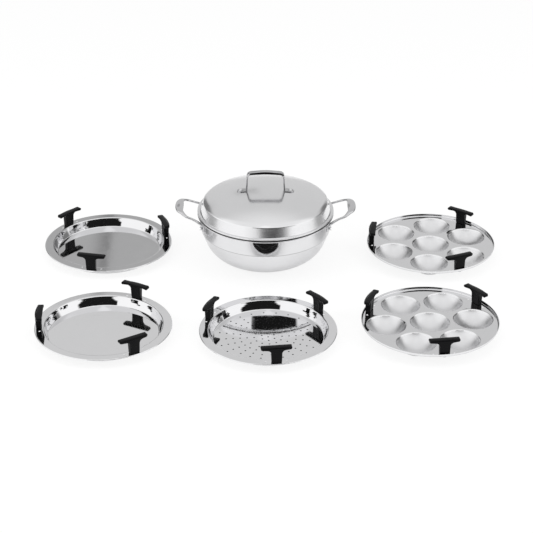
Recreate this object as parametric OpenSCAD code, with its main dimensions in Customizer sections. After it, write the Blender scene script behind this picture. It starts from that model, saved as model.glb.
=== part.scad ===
// Idli steamer set: a spun pot with its domed lid, two flat pans, one perforated pan and two
// seven-cavity plates, laid out on a table. Millimetres, Z up, the origin under the pot's base.

/* [Pot] */

// Height of the pot's lip above the table
pot_h = 94.7; // [86:0.1:104]
// Radius of the flat the pot stands on
pot_base_r = 57.9; // [52:0.1:62]
// Bend radius at the edge of that flat
pot_base_bend = 6; // [4:0.5:8]
// Radius where the bowl's shallow slope begins to turn
pot_toe_r = 73.9; // [70:0.1:78]
// Height of that point
pot_toe_z = 5; // [4:0.1:6]
// Bend radius at the toe
pot_toe_bend = 130; // [90:1:140]
// Radius of the bowl's belly corner
pot_belly_r = 105; // [100:0.1:108]
// Height of the belly corner
pot_belly_z = 23.2; // [20:0.1:26]
// Bend radius of the belly
pot_belly_bend = 56; // [40:1:60]
// Outside radius of the bowl at the seam line
pot_seam_r = 120.1; // [114:0.1:121]
// Height of the seam line
pot_seam_z = 63.2; // [54:0.1:66]
// How far the band above the seam stands proud of the bowl
seam_step = 0.6; // [0.4:0.1:0.9]
// How much wider the mouth is inside than the bowl at the seam, on the radius
band_flare = 2.3; // [1.2:0.1:4]
// Sheet thickness of the pot
pot_wall = 1.2; // [0.8:0.1:1.6]
// Width of the lip from the mouth outwards
lip_w = 4.8; // [4:0.1:5.5]
// Thickness of the hemmed lip
lip_t = 2.2; // [1.8:0.1:2.6]

/* [Side handles] */

// Half the distance between the two feet of one handle
foot_y = 41; // [36:0.5:46]
// Width of a foot plate round the pot
foot_w = 17; // [15:0.5:20]
// Height of a foot plate
foot_h = 18; // [14:0.5:22]
// Thickness of a foot plate
foot_t = 2.2; // [1.6:0.1:3]
// Distance from the lip's underside down to the foot plate
foot_drop = 0.8; // [0.5:0.1:3]
// Distance from the lip's edge out to the middle of the grip
grip_reach = 33; // [28:0.5:40]
// Height of the grip above the lip
grip_rise = 12.3; // [9:0.1:18]
// Half the length of the grip's wide part
grip_half = 18; // [14:0.5:22]
// Width of the grip in the middle
grip_w = 16; // [12:0.5:18]
// Thickness of the grip in the middle
grip_t = 3.2; // [2.6:0.1:4.5]
// Width of the arms
arm_w = 5; // [4:0.1:7]
// Thickness of the arms
arm_t = 3.8; // [3:0.1:4.5]
// Gap between the arms and the lip they pass
arm_gap = 1.4; // [1:0.1:3]

/* [Lid] */

// Height of the dome above the pot's lip
lid_h = 45.3; // [42:0.1:54]
// Radius of the crown's corner, half of the crown's arc
crown_r = 57.4; // [50:0.1:62]
// Height of the shoulder's corner above the lip
shoulder_z = 25.8; // [22:0.1:28]
// Bend radius of the shoulder
shoulder_bend = 13; // [8:0.5:15]
// Distance from the lip's edge in to the foot of the skirt
skirt_in = 5.4; // [5:0.1:6.5]
// Lean of the skirt from the vertical, in degrees
skirt_lean = 15.8; // [10:0.1:18]
// Sheet thickness of the lid
lid_wall = 0.9; // [0.7:0.1:1.2]
// How much smaller the lid's plug ring is than the mouth, on the radius
plug_gap = 0.8; // [0.5:0.1:1.5]
// Depth of the plug ring in the mouth
plug_h = 5; // [3:0.5:8]
// How far the lid's rolled edge stays inside the lip's edge
edge_in = 0.1; // [0:0.1:0.6]
// Radius of the lid's rolled edge
edge_roll = 2.4; // [1.6:0.1:2.5]

/* [Lid handle] */

// Half the width of the loop over its outer faces
loop_half = 36.6; // [32:0.1:42]
// Height of the loop above the lugs
loop_h = 40.8; // [36:0.1:48]
// How much closer together the legs are at the top, each
loop_splay = 1.5; // [0:0.1:3]
// Rise of the loop's arched top
loop_arch = 3; // [2:0.5:6]
// Width of the strap, front to back
strap_w = 14; // [12:0.5:18]
// Thickness of the strap's legs
leg_t = 3; // [2.4:0.1:4]
// Thickness of the strap along the top
top_t = 5.2; // [3.5:0.1:5.8]
// Outer bend radius of the loop's top corners
loop_bend = 11; // [9:0.5:13]
// Thickness of a lug
lug_t = 2.4; // [1.8:0.1:3]
// Length of a lug beyond the leg
lug_len = 16; // [14:0.5:20]
// Distance of a rivet from the lug's round end
rivet_in = 6.8; // [6:0.1:7.4]
// Diameter of a rivet's shank
rivet_d = 4; // [3:0.1:5]
// Diameter of a rivet's head
rivet_head_d = 8; // [6.5:0.1:9]
// Height of a rivet's head
rivet_head_h = 1.9; // [1.4:0.1:2.4]

/* [Plates] */

// Outer radius of every plate
plate_r = 120; // [117:0.5:121]
// Sheet thickness of the plates
sheet = 1; // [0.7:0.05:1.2]
// Height of a pan's flange above the table
pan_h = 17; // [14:0.5:22]
// Width of a pan's flange
flange_w = 16.2; // [15.6:0.1:17]
// How far a pan's wall leans out from its floor to its flange
wall_lean = 7.2; // [5:0.1:9]
// Inside bend radius at a pan's floor
pan_bend = 4; // [3:0.1:5]
// Bend radius at the flange's inner corner
flange_bend = 2.2; // [1.5:0.1:2.4]
// Drop of the flange's turned-down edge
flange_drop = 2.4; // [2.2:0.1:4]
// Bend radius of the turned-down edge
drop_bend = 1.6; // [1.3:0.1:1.9]
// Height of a cavity plate's sheet above the table
cavity_plate_h = 20; // [18:0.5:24]
// Height of a cavity plate's upturned rim above its sheet
rim_h = 4.6; // [3.5:0.1:6]
// Bend radius inside the upturned rim
rim_bend = 2; // [1.2:0.1:2.1]

/* [Cavities and holes] */

// Distance from a plate's centre to the outer cavities
cavity_ring_r = 77; // [75:0.1:78]
// Radius of a cavity's sphere
cavity_ball_r = 40.8; // [39.5:0.1:42]
// Bend radius at a cavity's edge
cavity_bend = 2.5; // [1.6:0.1:2.6]
// Thickness of the flat a cavity rests on
cavity_foot = 0.1; // [0.05:0.01:0.2]
// Diameter of a steam hole in the perforated pan
steam_d = 3; // [2.2:0.1:3.6]
// Distance between the rings of steam holes
steam_pitch = 12.2; // [11.5:0.1:12.6]
// Turn of the steam holes from the stands, in degrees
steam_turn = -2; // [-7:0.5:7]
// Diameter of the two small holes beside a stand
vent_d = 3.6; // [2.5:0.1:4.5]
// Distance of those holes from the stand's middle
vent_off = 18.4; // [15:0.1:20]
// Distance of those holes in from the plate's edge
vent_in = 9; // [8:0.1:9.6]

/* [Stands] */

// Distance from a plate's edge in to the middle of a stand
stand_in = 8; // [7.6:0.1:8.4]
// Overall height of a stand
stand_h = 28.5; // [25:0.5:34]
// Length of a stand's bar
bar_len = 55; // [50:1:60]
// Height of the bar at its ends
bar_t = 5; // [4:0.1:6]
// Width of the bar, seen from above
bar_w = 10.5; // [8.5:0.1:12]
// Plan radius of the bar's curve
bar_curve = 90; // [80:1:110]
// Width of the stem's foot along the rim
stem_foot = 17.5; // [15:0.5:20]
// Width of the stem under the bar
stem_top = 19; // [16:0.5:22]
// Thickness of the stem
stem_t = 9.2; // [8.4:0.1:9.4]
// Fillet between the stem and the bar
stem_fillet = 6; // [4:0.5:8]
// Edge rounding of a stand
stand_round = 2; // [1:0.1:2.2]
// Corner rounding of a bar's ends, seen from above
bar_end_round = 4; // [2:0.1:4.5]

/* [Screws] */

// Diameter of a stand's screw
screw_d = 4; // [3:0.1:4.5]
// Running clearance round a screw or rivet, on the radius
hole_gap = 0.05; // [0.03:0.01:0.1]
// Depth of a screw's thread in the stand
screw_in = 11; // [8:0.5:14]
// Blind hole left over beyond the screw's tip
bore_spare = 1.5; // [1:0.1:3]
// Diameter of a screw's head
screw_head_d = 7.4; // [6.4:0.1:7.6]
// Height of a screw's head
screw_head_h = 2.3; // [1.8:0.1:2.6]
// Diameter of a washer
washer_d = 9; // [8:0.1:9.4]
// Thickness of a washer
washer_t = 0.8; // [0.5:0.1:1]

/* [Layout] */

// Centre of the rear flat pan, left to right
rear_pan_x = -298.4; // [-320:0.1:-290]
// Centre of the rear flat pan, front to back
rear_pan_y = 28.2; // [20:0.1:50]
// Turn of the rear flat pan, in degrees
rear_pan_turn = 18; // [0:0.5:120]
// Centre of the front flat pan, left to right
front_pan_x = -282.1; // [-300:0.1:-270]
// Centre of the front flat pan, front to back
front_pan_y = -288.6; // [-320:0.1:-270]
// Turn of the front flat pan, in degrees
front_pan_turn = 62.5; // [0:0.5:120]
// Centre of the perforated pan, left to right
steam_pan_x = 4.6; // [-10:0.1:12]
// Centre of the perforated pan, front to back
steam_pan_y = -303.6; // [-330:0.1:-290]
// Turn of the perforated pan, in degrees
steam_pan_turn = 37.3; // [0:0.1:120]
// Centre of the rear cavity plate, left to right
rear_idli_x = 312.2; // [300:0.1:330]
// Centre of the rear cavity plate, front to back
rear_idli_y = 13.6; // [0:0.1:40]
// Turn of the rear cavity plate, in degrees
rear_idli_turn = 53.5; // [0:0.5:120]
// Centre of the front cavity plate, left to right
front_idli_x = 286.6; // [276:0.1:300]
// Centre of the front cavity plate, front to back
front_idli_y = -284.2; // [-310:0.1:-270]
// Turn of the front cavity plate, in degrees
front_idli_turn = 37.7; // [0:0.1:120]

/* [Hidden] */

$fn = 96;
steel = [0.78, 0.78, 0.79];
bright = [0.86, 0.86, 0.87];
black = [0.06, 0.06, 0.065];
zinc = [0.66, 0.67, 0.69];
mouth_r = pot_seam_r + band_flare;
lip_r = mouth_r + lip_w;
lip_z = pot_h - lip_t;
grip_x = lip_r + grip_reach;
skirt_r = lip_r - skirt_in;
pan_wall_r = plate_r - flange_w;
pan_floor_r = pan_wall_r - wall_lean;
stand_r = plate_r - stand_in;
vent_r = plate_r - vent_in;
band_foot_r = pot_seam_r + seam_step;
band_top_r = mouth_r + pot_wall;
plug_r = mouth_r - plug_gap;
fit_gap = 0.05;
arc_error = 0.02;
flange_t = 2 * lid_wall;
loop_x = loop_half - leg_t / 2;
lug_x = loop_half + lug_len;
rivet_x = lug_x - rivet_in;
crown_turn = atan((lid_h - shoulder_z) / (shoulder_r() - crown_r));
crown_ball = crown_r / tan(crown_turn / 2);
lug_tilt = asin(rivet_x / crown_ball);

// Direction and corner helpers for outlines given as [x, y, bend radius]
function pt(p) = [p[0], p[1]];
function bend(p) = len(p) > 2 ? p[2] : 0;
function unit(v) = v / norm(v);
function turn2(a, b) = a[0] * b[1] - a[1] * b[0];
function right(d) = [d[1], -d[0]];
function rev(P) = [for (i = [len(P) - 1:-1:0]) P[i]];

// The same open path moved to its right by t, each bend radius following
function shift(P, t) = [for (i = [0:len(P) - 1])
    let (
        a = i > 0 ? unit(pt(P[i]) - pt(P[i - 1])) : unit(pt(P[1]) - pt(P[0])),
        b = i < len(P) - 1 ? unit(pt(P[i + 1]) - pt(P[i])) : a,
        n = (right(a) + right(b)) / (1 + right(a) * right(b)),
        q = pt(P[i]) + t * n,
        r = bend(P[i]) == 0 ? 0 : max(bend(P[i]) + t * sign(turn2(a, b)), 0.2)
    )
    [q[0], q[1], r]];

// A shape from a closed outline of corners: turned about Z, or h deep where a depth is given
module shaped(P, h = 0) {
    if (h > 0) linear_extrude(h) polygon([for (i = [0:len(P) - 1]) each corner(P, i)]);
    else rotate_extrude() polygon([for (i = [0:len(P) - 1]) each corner(P, i)]);
}

function before(P, i) = unit(pt(P[i]) - pt(P[(i + len(P) - 1) % len(P)]));
function after(P, i) = unit(pt(P[(i + 1) % len(P)]) - pt(P[i]));

// The points of one corner: itself, or its bend cut into chords that stray no more than arc_error
function corner(P, i) =
    let (a = before(P, i), b = after(P, i), s = sign(turn2(a, b)), r = bend(P[i]))
    r == 0 || abs(turn2(a, b)) < 0.001 ? [pt(P[i])]
    : let (
        turn = acos(max(-1, min(1, a * b))),
        from = pt(P[i]) - r * tan(turn / 2) * a,
        c = from - s * r * right(a),
        n = max(2, ceil(turn / (2 * acos(1 - min(1, arc_error / r)))))
    )
    [for (k = [0:n]) c + s * r * turned(right(a), s * turn * k / n)];
function turned(v, w) = [v[0] * cos(w) - v[1] * sin(w), v[0] * sin(w) + v[1] * cos(w)];

// A sheet turned about Z from the path of its upper face, its thickness to the path's right
module spun_sheet(P, t) {
    shaped(t > 0 ? concat(shift(P, t), rev(P)) : concat(P, rev(shift(P, t))));
}

// Outside radius of the band at height z
function band_r(z) = band_foot_r
    + (band_top_r - band_foot_r) * (z - pot_seam_z) / (lip_z - pot_seam_z);

// Radius of the lid's shoulder corner, on the leaning skirt
function shoulder_r() = skirt_r - (shoulder_z - flange_t) * tan(skirt_lean);

// Height of the lid's outer face above the lip at radius r of the crown
function dome_z(r) = lid_h - crown_ball + sqrt(crown_ball * crown_ball - r * r);

// Pot
module pot_body() {
    color(steel) union() {
        spun_sheet([[0, 0], [pot_base_r, 0, pot_base_bend], [pot_toe_r, pot_toe_z, pot_toe_bend],
            [pot_belly_r, pot_belly_z, pot_belly_bend], [pot_seam_r, pot_seam_z]], -pot_wall);
        rotate_extrude() polygon([[band_foot_r - pot_wall, pot_seam_z - 0.8],
            [band_foot_r, pot_seam_z - 0.8], [band_top_r, lip_z + 0.5], [mouth_r, lip_z + 0.5]]);
        shaped([[mouth_r, lip_z - 0.2], [band_top_r, lip_z - 0.2],
            [band_top_r, lip_z], [lip_r, lip_z, lip_t * 0.48], [lip_r, pot_h, lip_t * 0.48],
            [mouth_r, pot_h, 0.7]]);
    }
}

// Centre line of half a side handle, from the foot to the middle of the grip: x, y, z, width, thickness
foot_a = asin(foot_y / (band_r(lip_z) + foot_t));
foot_mid = lip_z - foot_drop - foot_h / 2;
foot_x = (band_r(foot_mid) + foot_t / 2) * cos(foot_a);
out_x = (lip_r + arm_t / 2 + arm_gap) * cos(foot_a);
grip_z = pot_h + grip_rise;
// Stations of an arm from the lip to the grip: shares of its run, of the feet's extra spread, of the rise
arm_stations = [[0.28, 0.86, 0.14], [0.62, 0.76, 0.53], [0.84, 0.42, 0.88]];
// How much wider than the arm's width the strap is at each station from the foot to the grip
strap_grow = [6, 4, 1.2, 0, 0.6, 3.5];
foot_lean = 1.2;
half_path = concat([
    [foot_x - 0.3, foot_y - foot_lean, foot_mid - 3, arm_w + strap_grow[0], foot_t * 0.8],
    [foot_x + 0.6, foot_y - 0.7 * foot_lean, foot_mid + 2, arm_w + strap_grow[1], foot_t + 0.6],
    [out_x, foot_y, lip_z - arm_gap, arm_w + strap_grow[2], arm_t]],
    [for (i = [0:2]) let (a = arm_stations[i])
        [out_x + a[0] * (grip_x - out_x), grip_half + a[1] * (foot_y - grip_half),
            pot_h + a[2] * grip_rise, arm_w + strap_grow[3 + i], arm_t]],
    [[grip_x - 1, grip_half, grip_z - 0.3, grip_w - 2.5, grip_t], [grip_x, 0, grip_z, grip_w, grip_t]]);
side_n = len(half_path);
knots = concat([for (p = half_path) [p[0], -p[1], p[2], p[3], p[4]]],
    [for (i = [side_n - 2:-1:0]) half_path[i]]);
knot_n = len(knots);
knot_steps = 4;
round_n = 16;

// A smooth curve through the knots
function knot(i) = i < 0 ? 2 * knots[0] - knots[1]
    : i >= knot_n ? 2 * knots[knot_n - 1] - knots[knot_n - 2] : knots[i];
function along(i, t) = 0.5 * (2 * knot(i) + (knot(i + 1) - knot(i - 1)) * t
    + (2 * knot(i - 1) - 5 * knot(i) + 4 * knot(i + 1) - knot(i + 2)) * t * t
    + (3 * knot(i) - knot(i - 1) - 3 * knot(i + 1) + knot(i + 2)) * t * t * t);
stations = concat([for (i = [0:knot_n - 2]) for (k = [0:knot_steps - 1]) along(i, k / knot_steps)],
    [knots[knot_n - 1]]);
station_n = len(stations);
function xyz(p) = [p[0], p[1], p[2]];
function heading(i) = unit(xyz(stations[min(i + 1, station_n - 1)]) - xyz(stations[max(i - 1, 0)]));

// Rounded section of the strap at station i
function strap_ring(i) =
    let (
        d = heading(i),
        w = unit(cross(d, [0, 0, 1])),
        u = cross(w, d),
        s = stations[i]
    )
    [for (k = [0:round_n - 1])
        let (a = 360 * k / round_n, c = cos(a), e = sin(a))
        xyz(s) + w * (s[3] / 2) * sign(c) * pow(abs(c), 0.55)
            + u * (s[4] / 2) * sign(e) * pow(abs(e), 0.72)];

module loop_strap() {
    points = [for (i = [0:station_n - 1]) each strap_ring(i)];
    sides = [for (i = [0:station_n - 2]) for (k = [0:round_n - 1])
        let (a = i * round_n + k, b = i * round_n + (k + 1) % round_n)
        each [[a, b, b + round_n], [a, b + round_n, a + round_n]]];
    start = [for (k = [1:round_n - 2]) [0, k + 1, k]];
    last = (station_n - 1) * round_n;
    finish = [for (k = [1:round_n - 2]) [last, last + k, last + k + 1]];
    polyhedron(points = points, faces = concat(sides, start, finish));
}

// One foot plate, rounded below, lying on the band
module foot_plate(side) {
    top = lip_z - foot_drop;
    low = top - foot_h;
    spread = asin(foot_w / 2 / lip_r);
    intersection() {
        rotate([0, 0, side * foot_a - spread]) rotate_extrude(angle = 2 * spread)
            polygon([[band_r(low) + fit_gap, low], [band_r(low) + foot_t, low],
                [band_r(top) + foot_t, top], [band_r(top) + fit_gap, top]]);
        rotate([0, 0, side * foot_a]) rotate([90, 0, 90]) shaped([[-foot_w / 2, low, 5],
            [foot_w / 2, low, 5], [foot_w / 2 + 1, top + 1], [-foot_w / 2 - 1, top + 1]], 200);
    }
}

module side_handle() {
    union() {
        difference() {
            loop_strap();
            rotate_extrude() polygon([[0, foot_mid - foot_h], [band_r(foot_mid - foot_h) + fit_gap,
                foot_mid - foot_h], [band_r(lip_z) + fit_gap, lip_z], [0, lip_z]]);
        }
        for (s = [-1, 1]) foot_plate(s);
    }
}

module side_handle_right() {
    color(steel) side_handle();
}

module side_handle_left() {
    color(steel) mirror([1, 0, 0]) side_handle();
}

// Lid
module lid_shell() {
    color(bright) translate([0, 0, pot_h]) difference() {
        union() {
            spun_sheet([[skirt_r, flange_t - 0.2], [shoulder_r(), shoulder_z, shoulder_bend],
                [crown_r, lid_h, crown_ball * 0.999], [0, lid_h]], -lid_wall);
            shaped([[plug_r - lid_wall, -plug_h, 0.3], [plug_r, -plug_h, 0.3],
                [plug_r, 0], [lip_r - edge_in - edge_roll, 0],
                [lip_r - edge_in - edge_roll, flange_t], [plug_r - lid_wall, flange_t, 0.8]]);
            rotate_extrude() translate([lip_r - edge_in - edge_roll, edge_roll + 0.3]) circle(edge_roll);
        }
        for (s = [-1, 1]) rivet_place(s) translate([0, 0, -10]) cylinder(h = 20, r = rivet_d / 2 + hole_gap);
    }
}

// Frame of a rivet: its origin on the lid's outer face, Z along the face's normal
module rivet_place(s) {
    translate([s * rivet_x, 0, dome_z(rivet_x)]) rotate([0, s * lug_tilt, 0]) children();
}

module lid_handle() {
    foot_z = dome_z(loop_x);
    end_z = dome_z(lug_x);
    top_z = foot_z + loop_h;
    head_half = loop_half - loop_splay;
    color(bright) translate([0, 0, pot_h]) difference() {
        intersection() {
            translate([0, strap_w / 2 + 4, 0]) rotate([90, 0, 0]) shaped([
                [leg_t - loop_half, foot_z - 3], [leg_t - loop_half, foot_z + 0.8, 0.4],
                [leg_t - head_half, top_z - loop_arch - top_t, loop_bend - top_t],
                [0, top_z - top_t, 90],
                [head_half - leg_t, top_z - loop_arch - top_t, loop_bend - top_t],
                [loop_half - leg_t, foot_z + 0.8, 0.4], [loop_half - leg_t, foot_z - 3],
                [lug_x, end_z - 3], [lug_x, end_z + lug_t], [loop_half, dome_z(loop_half) + lug_t, 3],
                [head_half, top_z - loop_arch, loop_bend], [0, top_z, 120],
                [-head_half, top_z - loop_arch, loop_bend], [-loop_half, dome_z(loop_half) + lug_t, 3],
                [-lug_x, end_z + lug_t], [-lug_x, end_z - 3]], strap_w + 8);
            linear_extrude(2 * lid_h + loop_h) union() {
                square([2 * lug_x - strap_w, strap_w], center = true);
                for (s = [-1, 1]) translate([s * (lug_x - strap_w / 2), 0]) circle(strap_w / 2);
            }
        }
        translate([0, 0, lid_h - crown_ball]) sphere(crown_ball + fit_gap);
        for (s = [-1, 1]) rivet_place(s) translate([0, 0, -10]) cylinder(h = 20, r = rivet_d / 2 + hole_gap);
    }
}

module lid_rivets() {
    under = lid_wall + 0.1;
    color(bright) translate([0, 0, pot_h]) for (s = [-1, 1]) rivet_place(s) {
        shaped([[0, -under - 1.2], [rivet_d * 0.75, -under - 1.2, 0.5],
            [rivet_d * 0.75, -under], [rivet_d / 2, -under], [rivet_d / 2, lug_t + 0.1],
            [rivet_head_d / 2, lug_t + 0.1], [rivet_head_d / 2, lug_t + 0.5, 0.3],
            [rivet_head_d * 0.28, lug_t + 0.1 + rivet_head_h, 2.2], [0, lug_t + 0.1 + rivet_head_h]]);
    }
}

// Plates: every pan and cavity plate is drawn about its own centre, its first stand along X
module at_stands() {
    for (k = [0:2]) rotate([0, 0, 120 * k]) translate([stand_r, 0, 0]) children();
}

module stand_holes(z) {
    at_stands() translate([0, 0, z - 5]) cylinder(h = 10, r = screw_d / 2 + 2 * hole_gap);
    for (k = [0:2]) for (s = [-1, 1]) rotate([0, 0, 120 * k])
        translate([sqrt(vent_r * vent_r - vent_off * vent_off), s * vent_off, z - 5])
            cylinder(h = 10, r = vent_d / 2);
}

module pan_sheet() {
    difference() {
        spun_sheet([[0, sheet], [pan_floor_r, sheet, pan_bend], [pan_wall_r, pan_h, flange_bend],
            [plate_r, pan_h, drop_bend], [plate_r, pan_h - flange_drop]], sheet);
        stand_holes(pan_h);
    }
}

module steam_holes() {
    translate([0, 0, -1]) cylinder(h = sheet + 2, r = steam_d / 2);
    for (ring = [[1, 6], [2, 12], [3, 12], [4, 24], [5, 24], [6, 24], [7, 24]])
        for (k = [0:ring[1] - 1]) rotate([0, 0, steam_turn + 360 * k / ring[1]])
            translate([ring[0] * steam_pitch, 0, -1]) cylinder(h = sheet + 2, r = steam_d / 2, $fn = 24);
}

// A cavity's shape, its mouth at z 0: grow 0 for the hollow, the sheet's thickness for its outside
module cavity_form(grow) {
    ball = cavity_ball_r;
    centre = ball - (cavity_plate_h - sheet + cavity_foot);
    reach = sqrt(pow(ball + cavity_bend, 2) - pow(centre + cavity_bend, 2));
    share = (ball + grow) / (ball + cavity_bend);
    meet = [reach * share, centre - (centre + cavity_bend) * share];
    top = grow > 0 ? -grow / 2 : 2;
    from = atan2(meet[1] + cavity_bend, meet[0] - reach);
    intersection() {
        translate([0, 0, centre]) sphere(ball + grow);
        translate([0, 0, -ball]) cylinder(h = ball + meet[1], r = ball);
    }
    rotate_extrude() polygon(concat([[0, meet[1] - 3], [meet[0] * 0.8, meet[1] - 3]],
        [for (k = [0:6]) [reach, -cavity_bend] + (cavity_bend - grow)
            * [cos(from + (90 - from) * k / 6), sin(from + (90 - from) * k / 6)]],
        [[reach, top], [0, top]]));
}

module cavity_spots() {
    children();
    for (k = [0:5]) rotate([0, 0, 30 + 60 * k]) translate([cavity_ring_r, 0, 0]) children();
}

module cavity_sheet() {
    difference() {
        union() {
            spun_sheet([[0, cavity_plate_h], [plate_r - sheet, cavity_plate_h, rim_bend],
                [plate_r - sheet, cavity_plate_h + rim_h]], sheet);
            intersection() {
                cavity_spots() translate([0, 0, cavity_plate_h]) cavity_form(sheet);
                cylinder(h = cavity_plate_h, r = plate_r);
            }
        }
        cavity_spots() translate([0, 0, cavity_plate_h]) cavity_form(0);
        stand_holes(cavity_plate_h);
    }
}

// One stand, its foot at the origin, the plate's centre towards -X
module stand() {
    under = stand_h - bar_t;
    end = bar_len / 2;
    sag = bar_curve - sqrt(bar_curve * bar_curve - end * end);
    end_out = bar_w / 2 - sag + 0.4;
    end_in = -bar_w / 2 - sag - 0.2;
    difference() {
        intersection() {
            translate([-30, 0, 0]) rotate([90, 0, 90]) shaped([
                [-stem_foot / 2, 0, 0.6], [stem_foot / 2, 0, 0.6],
                [stem_top / 2, under, stem_fillet], [end, under, stand_round],
                [end, stand_h, stand_round], [-end, stand_h, stand_round],
                [-end, under, stand_round], [-stem_top / 2, under, stem_fillet]], 60);
            translate([-bar_curve, 0, 0]) shaped([
                [bar_curve - stem_t / 2, 0, 0.4], [bar_curve + stem_t / 2, 0, 0.4],
                [bar_curve + bar_w / 2, under - 1], [bar_curve + bar_w / 2, stand_h, stand_round],
                [bar_curve - bar_w / 2, stand_h, stand_round], [bar_curve - bar_w / 2, under - 1]]);
            translate([0, 0, -1]) shaped([
                [end_out, -end, bar_end_round], [bar_w, -bar_w], [bar_w, bar_w], [end_out, end, bar_end_round],
                [end_in, end, bar_end_round], [end_in, -end, bar_end_round]], stand_h + 2);
        }
        translate([0, 0, -1]) cylinder(h = screw_in + bore_spare + 1, r = screw_d / 2 + hole_gap);
    }
}

// One screw, its origin on the sheet's underside, head below the washer
module screw() {
    tip = screw_in + sheet;
    difference() {
        shaped([[0, -washer_t - screw_head_h],
            [screw_head_d / 2, -washer_t - screw_head_h, 1.2], [screw_head_d / 2, -washer_t],
            [screw_d / 2, -washer_t], [screw_d / 2, tip - 1.2], [screw_d / 2 - 1.2, tip], [0, tip]]);
        translate([0, 0, -washer_t - screw_head_h + 0.5]) for (a = [0, 90]) rotate([0, 0, a])
            cube([screw_head_d * 0.6, 0.9, 1.6], center = true);
    }
}

module washer() {
    translate([0, 0, -washer_t]) difference() {
        cylinder(h = washer_t, r = washer_d / 2);
        translate([0, 0, -1]) cylinder(h = washer_t + 2, r = screw_d / 2 + 2 * hole_gap);
    }
}

module stand_at(k, z) {
    rotate([0, 0, 120 * (k - 1)]) translate([stand_r, 0, z]) stand();
}

module screw_set(z) {
    at_stands() translate([0, 0, z - sheet]) screw();
}

module washer_set(z) {
    at_stands() translate([0, 0, z - sheet]) washer();
}

// Places on the table
module at_rear_pan() {
    translate([rear_pan_x, rear_pan_y, 0]) rotate([0, 0, rear_pan_turn]) children();
}

module at_front_pan() {
    translate([front_pan_x, front_pan_y, 0]) rotate([0, 0, front_pan_turn]) children();
}

module at_steam_pan() {
    translate([steam_pan_x, steam_pan_y, 0]) rotate([0, 0, steam_pan_turn]) children();
}

module at_rear_idli() {
    translate([rear_idli_x, rear_idli_y, 0]) rotate([0, 0, rear_idli_turn]) children();
}

module at_front_idli() {
    translate([front_idli_x, front_idli_y, 0]) rotate([0, 0, front_idli_turn]) children();
}

// Rear flat pan
module rear_pan() { color(steel) at_rear_pan() pan_sheet(); }
module rear_pan_stand_1() { color(black) at_rear_pan() stand_at(1, pan_h); }
module rear_pan_stand_2() { color(black) at_rear_pan() stand_at(2, pan_h); }
module rear_pan_stand_3() { color(black) at_rear_pan() stand_at(3, pan_h); }
module rear_pan_screws() { color(zinc) at_rear_pan() screw_set(pan_h); }
module rear_pan_washers() { color(zinc) at_rear_pan() washer_set(pan_h); }

// Front flat pan
module front_pan() { color(steel) at_front_pan() pan_sheet(); }
module front_pan_stand_1() { color(black) at_front_pan() stand_at(1, pan_h); }
module front_pan_stand_2() { color(black) at_front_pan() stand_at(2, pan_h); }
module front_pan_stand_3() { color(black) at_front_pan() stand_at(3, pan_h); }
module front_pan_screws() { color(zinc) at_front_pan() screw_set(pan_h); }
module front_pan_washers() { color(zinc) at_front_pan() washer_set(pan_h); }

// Perforated pan
module steam_pan() {
    color(steel) at_steam_pan() difference() {
        pan_sheet();
        steam_holes();
    }
}
module steam_pan_stand_1() { color(black) at_steam_pan() stand_at(1, pan_h); }
module steam_pan_stand_2() { color(black) at_steam_pan() stand_at(2, pan_h); }
module steam_pan_stand_3() { color(black) at_steam_pan() stand_at(3, pan_h); }
module steam_pan_screws() { color(zinc) at_steam_pan() screw_set(pan_h); }
module steam_pan_washers() { color(zinc) at_steam_pan() washer_set(pan_h); }

// Rear cavity plate
module rear_idli_plate() { color(steel) at_rear_idli() cavity_sheet(); }
module rear_idli_stand_1() { color(black) at_rear_idli() stand_at(1, cavity_plate_h); }
module rear_idli_stand_2() { color(black) at_rear_idli() stand_at(2, cavity_plate_h); }
module rear_idli_stand_3() { color(black) at_rear_idli() stand_at(3, cavity_plate_h); }
module rear_idli_screws() { color(zinc) at_rear_idli() screw_set(cavity_plate_h); }
module rear_idli_washers() { color(zinc) at_rear_idli() washer_set(cavity_plate_h); }

// Front cavity plate
module front_idli_plate() { color(steel) at_front_idli() cavity_sheet(); }
module front_idli_stand_1() { color(black) at_front_idli() stand_at(1, cavity_plate_h); }
module front_idli_stand_2() { color(black) at_front_idli() stand_at(2, cavity_plate_h); }
module front_idli_stand_3() { color(black) at_front_idli() stand_at(3, cavity_plate_h); }
module front_idli_screws() { color(zinc) at_front_idli() screw_set(cavity_plate_h); }
module front_idli_washers() { color(zinc) at_front_idli() washer_set(cavity_plate_h); }

// What is drawn
pot_body();
side_handle_left();
side_handle_right();
lid_shell();
lid_handle();
lid_rivets();
rear_pan();
rear_pan_stand_1();
rear_pan_stand_2();
rear_pan_stand_3();
rear_pan_screws();
rear_pan_washers();
front_pan();
front_pan_stand_1();
front_pan_stand_2();
front_pan_stand_3();
front_pan_screws();
front_pan_washers();
steam_pan();
steam_pan_stand_1();
steam_pan_stand_2();
steam_pan_stand_3();
steam_pan_screws();
steam_pan_washers();
rear_idli_plate();
rear_idli_stand_1();
rear_idli_stand_2();
rear_idli_stand_3();
rear_idli_screws();
rear_idli_washers();
front_idli_plate();
front_idli_stand_1();
front_idli_stand_2();
front_idli_stand_3();
front_idli_screws();
front_idli_washers();
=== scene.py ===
import math
import bpy
import bmesh
import numpy as np
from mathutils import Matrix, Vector
from mathutils.geometry import delaunay_2d_cdt


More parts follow.
